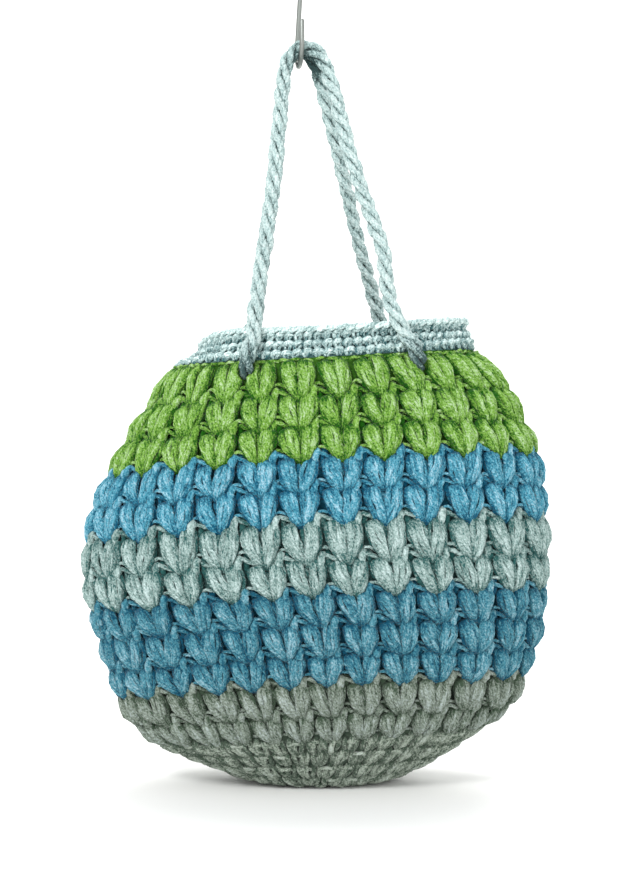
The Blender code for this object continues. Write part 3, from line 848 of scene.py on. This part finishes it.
# The puff stitches. Each heart is two puffs of drawn-up loops over one tip, which sits in the
# notch of the heart below. A small chain stitch beside the top of the right puff closes it, and
# from there the yarn runs on to the next heart.
HEART_WIDTH = 24.0  # x is across from its middle, y up from its tip, lift off the smooth surface
ROUND_HEIGHT = 18.6
TIP_REACH = 0.22  # of a round, below its lower edge
TIP_UNEVEN = 1.2
LOOPS = 10  # lengths of yarn that show in one puff
LOOP_SHARES = np.array([0.0, 0.07, 0.25, 0.47, 0.64, 0.80, 0.93, 1.0])  # of the way up, of its rings
LOOP_SPREAD = (math.radians(-98.0), math.radians(56.0))  # from its outer side to the inner one
LOOP_SPREAD_UNEVEN = math.radians(6.0)
LOOP_CROSSING = math.radians(12.0)  # at most, from the middle of a loop to its ends
LOOP_SIZE_UNEVEN = 0.07
LOOP_LIFT_UNEVEN = 0.5
LOOP_SWAY = (0.8, 1.3)  # reach to both sides, and waves from foot to crown
LOOP_HEAVE = (0.45, 1.6)  # the same in and out
ANY_PHASE = 0.5  # of a wave, either way
LOOP_RADIUS = 1.32
LOOP_RADIUS_UNEVEN = 0.14
LOOP_THINNING = 0.12  # along a loop, or thickening
CORE_RADIUS = 3.6
CORE_LEAST_RADIUS = 0.3
PUFF_WIDTH = 4.7
PUFF_DEPTH = 4.1
PUFF_SIZE_UNEVEN = 0.06
PUFF_FLATNESS = 0.65  # 1 for the arch of a sine from foot to crown, and less for a flatter one
PUFF_FOOT_LIFT = -5.9
PUFF_RISE = 1.3
PUFF_RISE_FLATNESS = 0.7
PARTING = math.radians(6.0)  # of the middle loops of most of the puffs
PARTING_MORE = 0.3  # for more than half of them to part
PARTING_AT = 0.66  # of the way up
PARTING_SHIFT = 0.1
PARTING_LENGTH = 0.1
PARTING_REACH = math.radians(40.0)
Puff = namedtuple("Puff", "side foot_x foot_y crown_x crown_y bow foot_fan crown_fan")
PUFF_UNEVEN = Puff(0, 0.3, 0.6, 0.8, 1.0, 0.4, 0.04, 0.04)
PUFFS = [
    Puff(-1, 0.0, -0.2, -6.9, 21.4, -1.2, 0.74, 0.27),
    Puff(1, 0.8, -1.0, 6.3, 22.4, 1.2, 0.74, 0.31),
]
TOP_PUFFS = [
    Puff(-1, -0.1, -0.2, -5.8, 21.4, -1.1, 0.66, 0.18),
    Puff(1, 0.4, -1.2, 6.0, 21.8, 1.1, 0.66, 0.18),
]


def fan_out(share, foot_fan, crown_fan):
    """Width of a puff at a share of the way up, 1 where it is widest."""
    widest = foot_fan / (foot_fan + crown_fan)
    return (share / widest) ** foot_fan * ((1 - share) / (1 - widest)) ** crown_fan


def puff_loops(chance, puffs):
    """Points (heart, length, ring, xyz) and radii of the lengths of a round of hearts: for each
    puff its loops, and the bundle of more loops under them as one thick length."""

    def uneven(amount, *extra):
        return either_way(chance, amount, (HEARTS, len(puffs), *(extra or (1, 1))))

    def waves(reach, count):
        turns = count * share + uneven(ANY_PHASE, LOOPS, 1)
        return reach * np.sin(2 * math.pi * turns) * part_way

    side, *shape = [np.array(part)[None, :, None, None] for part in zip(*puffs)]
    tip_shift = either_way(chance, TIP_UNEVEN, (HEARTS, 1, 1, 1))
    foot_x, foot_y, crown_x, crown_y, bow, foot_fan, crown_fan = (
        part + uneven(amount) for part, amount in zip(shape, PUFF_UNEVEN[1:])
    )
    foot_x = foot_x + tip_shift
    share = LOOP_SHARES[None, None, None, :]
    part_way = np.sin(math.pi * share)
    spread = np.linspace(*LOOP_SPREAD, LOOPS)[None, None, :, None]
    spread = spread + uneven(LOOP_SPREAD_UNEVEN, LOOPS, 1)
    parting = np.clip(uneven(1.0) + PARTING_MORE, 0.0, 1.0) * PARTING
    from_parting = (share - PARTING_AT - uneven(PARTING_SHIFT)) / PARTING_LENGTH
    parting = parting * np.exp(-from_parting ** 2 - (spread / PARTING_REACH) ** 2)
    spread = spread + np.sign(spread) * parting
    spread = spread + uneven(LOOP_CROSSING, LOOPS, 1) * (2 * share - 1) * np.sqrt(part_way)
    wide = fan_out(share, foot_fan, crown_fan)
    size = 1 + uneven(PUFF_SIZE_UNEVEN) + uneven(LOOP_SIZE_UNEVEN, LOOPS, 1)
    off = -side * PUFF_WIDTH * wide * size * np.sin(spread) + waves(*LOOP_SWAY)
    heave = waves(*LOOP_HEAVE) + uneven(LOOP_LIFT_UNEVEN, LOOPS, 1) * part_way
    raised = PUFF_DEPTH * size * part_way ** PUFF_FLATNESS * np.cos(spread) + heave
    radii = LOOP_RADIUS * (1 + uneven(LOOP_RADIUS_UNEVEN, LOOPS, 1))
    radii = radii * (1 + uneven(LOOP_THINNING, LOOPS, len(LOOP_SHARES)))
    core = np.zeros_like(wide)
    off, raised = (np.concatenate([part, core], axis=2) for part in (off, raised))
    radii = np.concatenate([radii, np.maximum(CORE_RADIUS * wide, CORE_LEAST_RADIUS)], axis=2)
    lean_x, lean_y = crown_x - foot_x, crown_y - foot_y
    lean = np.hypot(lean_x, lean_y)
    x = foot_x + lean_x * share + bow * part_way + off * lean_y / lean
    y = foot_y + lean_y * share - off * lean_x / lean
    lift = PUFF_FOOT_LIFT + PUFF_RISE * wide ** PUFF_RISE_FLATNESS + raised
    points = np.stack([x, y, lift], axis=-1)
    return [part.reshape(HEARTS, -1, *part.shape[3:]) for part in (points, radii)]


# The other lengths of a heart, each with the shade by which it is lighter or darker: painted
# shade on the two fillers under the slot and between the puffs, and painted light on the chain,
# the yarn that runs on, the bar low in the slot and the top stitches. The round under the neck
# band has three plain stitches over the crowns of each heart, in place of all of these but the last.
At = namedtuple("At", "x y lift")
Bar = namedtuple("Bar", "radius shade way")
SLOT_BAR = Bar(0.95, 0.6, [  # low down in the slot between this heart and the next
    At(7.6, 7.0, -7.0), At(8.8, 8.0, -5.4), At(10.2, 8.7, -4.3), At(11.6, 8.9, -3.8),
    At(13.0, 8.8, -3.8), At(14.4, 8.3, -4.3), At(15.7, 7.5, -5.4), At(16.8, 6.6, -7.0),
])
BARS = [
    Bar(2.5, 0.15, [  # the closing chain beside the top of the right puff
        At(7.6, 17.0, -5.4), At(7.9, 18.8, -4.3), At(8.3, 20.5, -3.7), At(8.7, 22.0, -3.5),
        At(9.1, 23.3, -3.6), At(9.5, 24.3, -3.9), At(9.8, 25.0, -4.4), At(10.0, 25.5, -5.1),
    ]),
    Bar(2.4, -0.4, [  # under the slot, with painted shade
        At(12.2, 15.0, -8.6), At(12.3, 17.0, -7.8), At(12.5, 19.0, -7.1), At(12.8, 20.8, -6.7),
        At(13.0, 22.4, -6.6), At(13.2, 24.0, -6.7), At(13.3, 25.4, -7.2), At(13.3, 26.6, -8.0),
    ]),
    Bar(2.3, -0.1, [  # far in between the two puffs, with a little painted shade
        At(0.3, 5.5, -7.6), At(0.3, 7.5, -6.4), At(0.2, 9.5, -5.7), At(0.1, 11.5, -5.3),
        At(0.0, 13.5, -5.2), At(-0.1, 15.5, -5.5), At(-0.2, 17.3, -6.2), At(-0.2, 19.0, -7.4),
    ]),
    Bar(1.2, 0.2, [  # the yarn that runs on over the next heart
        At(10.2, 24.6, -4.6), At(11.5, 24.5, -3.9), At(12.9, 24.0, -3.6), At(14.4, 23.4, -3.6),
        At(15.8, 22.7, -3.8), At(17.2, 22.0, -4.2), At(18.6, 21.2, -5.0), At(19.8, 20.3, -6.6),
    ]),
    SLOT_BAR,
]
TOP_BAR_PLACES = (-8.0, 0.0, 8.0)
TOP_BAR_RUN = (-5.0, -3.6, -2.2, -0.7, 0.7, 2.2, 3.6, 5.0)
TOP_BAR_BEND = At(0.0, -0.03, -0.11)  # for each mm squared from its middle
TOP_BARS = [
    Bar(0.95, 0.3, [
        At(x + run, 21.9 + TOP_BAR_BEND.y * run * run, -2.6 + TOP_BAR_BEND.lift * run * run)
        for run in TOP_BAR_RUN
    ])
    for x in TOP_BAR_PLACES
] + [SLOT_BAR]
BAR_SHIFT = 0.6
BAR_UNEVEN = 0.25
BAR_RADIUS_UNEVEN = 0.15
END_THICKNESS = 0.75  # of each length's two end rings, of what they would be
SHADE_UNEVEN = 0.35
# painted shade: the bundle under each puff's loops, seen only in the gaps between them, is drawn
# darker
CORE_PAINTED_SHADE = -0.5
LOOP_TOP = 0.9  # of its radius above a length's middle, from where its depth for the painted shade is taken
LOOP_SHADE_RUN = 4.1
MOST_PAINTED_SHADE = 1.1
BAR_SHADE_SHARE = 0.6  # of the painted shade it would have as a loop


def puff_round(chance, level):
    """Ways, radii, shades and painted shade of the yarn in the round of hearts that starts at a
    level.
    """
    top = level == BAND_FOOT
    loops, loop_radii = puff_loops(chance, TOP_PUFFS if top else PUFFS)
    bar_radii, bar_shades, bars = (np.array(part) for part in zip(*(TOP_BARS if top else BARS)))
    bars = bars[None] + either_way(chance, BAR_SHIFT, (HEARTS, len(bars), 1, 3))
    bars = bars + either_way(chance, BAR_UNEVEN, bars.shape)
    first_bar = loops.shape[1]
    parts = np.concatenate([loops, bars], axis=1)
    at = level + 1 + TIP_REACH - parts[..., 1] / ROUND_HEIGHT
    heart = np.arange(HEARTS)[:, None, None] - HEARTS / 2 + parts[..., 0] / HEART_WIDTH
    ways = on_bag(heart_turn(heart, at), at, parts[..., 2])
    strays = either_way(chance, BAR_RADIUS_UNEVEN, bars.shape[:3])
    radii = np.concatenate([loop_radii, bar_radii[:, None] * (1 + strays)], axis=1)
    radii[..., [0, -1]] *= END_THICKNESS
    shades = either_way(chance, SHADE_UNEVEN, parts.shape[:2])
    # the bundles under the loops get their painted shade
    shades[:, LOOPS:first_bar:LOOPS + 1] += CORE_PAINTED_SHADE
    shades[:, first_bar:] += bar_shades
    # Painted shade: the farther a length lies under the surface, the darker it is drawn, the bars
    # less so.
    deep = np.clip(-(parts[..., 2] + LOOP_TOP * radii) / LOOP_SHADE_RUN, 0.0, MOST_PAINTED_SHADE)
    deep[:, first_bar:] *= BAR_SHADE_SHARE
    return [part.reshape(-1, *part.shape[2:]) for part in (ways, radii, shades, deep)]


for band in [band for band in BANDS if band.kind == "puffs"]:
    chance = np.random.default_rng(band.start)
    made = [puff_round(chance, level) for level in range(band.start, band.end)]
    ways, radii, shades, deep = (np.concatenate(part) for part in zip(*made))
    ways = clear_of_cords(ways, LOOP_RADIUS)
    puffs = lay_yarn("puffs_" + band.name, ways, radii, shades, deep)
    puffs.data.materials.append(yarn_finish("yarn_" + band.name, band.yarn, band.light, band.dark))
    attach(puffs, "root")
    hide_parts("bag_body")


# The neck band. Three rounds of plain stitches in thinner, paler yarn, each a V of two legs over
# the loop that joins it to the next one. Along the rim lie the loops of the last round, in a row
# of Vs.
BAND_STITCHES = 76
BAND_STITCH_SIZE = (5.6, 5.4)  # x is across from its middle, y up from its round's lower edge
STITCH_SHIFT = 0.35  # of a stitch, from one round to the next
LEG_SHIFT = 0.05  # of a stitch's width
LEG_UNEVEN = 0.2
LEG_LEAN = 0.16
LEG_RADIUS_UNEVEN = 0.12
LEG_SHADE_FROM = -1.6  # the lift under which legs are drawn darker, as painted shade
LEG_SHADE_RUN = 2.4
PLAIN_SHADE_UNEVEN = 0.3
NECK_SEED = 61
BAND_LEGS = [
    [At(0.3, -1.2, -4.0), At(-0.2, 0.0, -2.6), At(-0.8, 1.3, -2.0), At(-1.3, 2.6, -1.9),
     At(-1.7, 3.8, -2.2), At(-1.9, 4.8, -3.0), At(-2.0, 5.6, -4.2)],
    [At(0.9, -1.2, -4.0), At(1.2, 0.0, -2.8), At(1.5, 1.3, -2.2), At(1.7, 2.6, -2.1),
     At(1.9, 3.8, -2.4), At(2.0, 4.8, -3.2), At(2.1, 5.6, -4.4)],
    [At(-2.3, 1.9, -4.4), At(-1.8, 2.5, -2.6), At(-0.9, 3.1, -1.4), At(0.1, 3.4, -1.0),
     At(1.1, 3.5, -1.4), At(1.9, 3.3, -2.6), At(2.4, 2.8, -4.4)],
]
BAND_RADII = (1.05, 1.05, 1.7)
FOOT_LOWEST = 0.6  # y of the legs of the lowest round, which stop over the hearts' crowns
RIM_LEGS = [  # x along the rim, y above it, and lift out from its middle
    [At(-4.0, -0.9, 2.9), At(-2.4, -0.6, 3.3), At(-0.8, 0.1, 3.1), At(0.8, 0.8, 2.4),
     At(2.2, 1.2, 1.6), At(3.4, 1.1, 1.0), At(4.4, 0.6, 0.6)],
    [At(-4.0, 0.1, -2.6), At(-2.4, 0.3, -2.7), At(-0.8, 0.9, -2.2), At(0.8, 1.4, -1.5),
     At(2.2, 1.6, -0.9), At(3.4, 1.3, -0.5), At(4.4, 0.6, -0.3)],
]
RIM_RADIUS = 1.6
RIM_RADIUS_UNEVEN = 0.1
RIM_UNEVEN = 0.25
RIM_PAINTED_LIGHT = 0.3  # painted light: how much paler the rim is drawn than the rounds under it, in the same yarn


def stitch_round(chance, legs, leg_radii, stitches, size, level):
    """Ways, radii and painted shade of a round of plain stitches that ends at a level, upwards."""
    shift = either_way(chance, LEG_SHIFT * size[0], (stitches, len(legs), 1, 3))
    parts = np.array(legs) + shift + either_way(chance, LEG_UNEVEN, (stitches, *np.shape(legs)))
    lean = either_way(chance, LEG_LEAN, (stitches, 1, 1))
    parts[..., 0] += lean * (parts[..., 1] - size[1] / 2)
    stitch = np.arange(stitches)[:, None, None] + STITCH_SHIFT * level
    lowest = FOOT_LOWEST if level == BAND_FOOT else 0.0
    parts[..., 1] = np.maximum(parts[..., 1], lowest)
    at = level - parts[..., 1] / size[1]
    ways = on_bag((stitch + parts[..., 0] / size[0]) / stitches, at, parts[..., 2])
    strays = either_way(chance, LEG_RADIUS_UNEVEN, parts.shape[:3])
    radii = np.array(leg_radii)[:, None] * (1 + strays)
    # painted shade: legs that lie deeper are drawn darker
    deep = np.clip((LEG_SHADE_FROM - parts[..., 2]) / LEG_SHADE_RUN, 0.0, 1.0)
    return [part.reshape(-1, *part.shape[2:]) for part in (ways, radii, deep)]


def rim_round(chance):
    """The same for the Vs along the rim."""
    parts = np.array(RIM_LEGS) + either_way(chance, RIM_UNEVEN, (BAND_STITCHES, len(RIM_LEGS), 1, 3))
    stitch = np.arange(BAND_STITCHES)[:, None, None]
    turn = (stitch + parts[..., 0] / BAND_STITCH_SIZE[0]) / BAND_STITCHES
    ways = on_bag(turn, 0.0, parts[..., 2] - EDGES[0].wall / 2)
    ways[..., 2] += parts[..., 1]
    radii = RIM_RADIUS * (1 + either_way(chance, RIM_RADIUS_UNEVEN, parts.shape[:3]))
    return [part.reshape(-1, *part.shape[2:]) for part in (ways, radii, np.zeros_like(radii))]


chance = np.random.default_rng(NECK_SEED)
made = [
    stitch_round(chance, BAND_LEGS, BAND_RADII, BAND_STITCHES, BAND_STITCH_SIZE, level)
    for level in range(1, BAND_FOOT + 1)
]
made.append(rim_round(chance))
ways, radii, deep = (np.concatenate(part) for part in zip(*made))
ways = clear_of_cords(ways, BAND_RADII[0])
shades = either_way(chance, PLAIN_SHADE_UNEVEN, len(ways))
# painted light on the rim's Vs
shades[-BAND_STITCHES * len(RIM_LEGS):] += RIM_PAINTED_LIGHT
neck = lay_yarn("neck_stitches", ways, radii, shades, deep)
neck.data.materials.append(yarn_finish("yarn_neck", *BANDS[0][-3:]))
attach(neck, "root")
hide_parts("bag_body")


# The base. Rounds of taller plain stitches, fewer in each round towards the middle of the
# underside, where they lie flat on what the bag stands on.
BASE_STITCH_SIZE = (10.0, 9.8)
BASE_ROUNDS = {16: 42, 17: 36, 18: 29, 19: 23, 20: 15, 21: 9}  # stitches, by its lower edge
BASE_LEGS = [
    [At(-1.2, -1.0, -4.4), At(-2.0, 0.8, -3.2), At(-2.7, 2.8, -2.6), At(-3.3, 5.0, -2.4),
     At(-3.7, 7.0, -2.5), At(-3.5, 8.8, -3.0), At(-3.0, 10.2, -4.2)],
    [At(0.3, -1.6, -4.0), At(0.0, 0.6, -3.0), At(-0.4, 3.0, -2.3), At(-0.3, 5.4, -2.1),
     At(0.3, 7.4, -2.3), At(0.8, 9.0, -2.9), At(1.0, 10.4, -4.0)],
    [At(1.5, -1.0, -4.4), At(2.1, 0.9, -3.2), At(2.6, 3.1, -2.7), At(3.1, 5.3, -2.5),
     At(3.6, 7.3, -2.6), At(3.7, 8.9, -3.1), At(3.4, 10.2, -4.4)],
    [At(-4.0, 7.0, -3.9), At(-2.6, 7.9, -2.7), At(-1.0, 8.4, -2.0), At(0.7, 8.5, -1.9),
     At(2.2, 8.1, -2.2), At(3.4, 7.4, -3.1), At(4.4, 6.4, -4.5)],
]
BASE_RADII = (1.8, 1.85, 1.8, 1.3)
BASE_SEED = 62

chance = np.random.default_rng(BASE_SEED)
made = [
    stitch_round(chance, BASE_LEGS, BASE_RADII, stitches, BASE_STITCH_SIZE, level)
    for level, stitches in BASE_ROUNDS.items()
]
ways, radii, deep = (np.concatenate(part) for part in zip(*made))
shades = either_way(chance, PLAIN_SHADE_UNEVEN, len(ways))
base = lay_yarn("base_stitches", ways, radii, shades, deep)
base.data.materials.append(yarn_finish("yarn_base", *BANDS[-1][-3:]))
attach(base, "root")
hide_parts("bag_body")
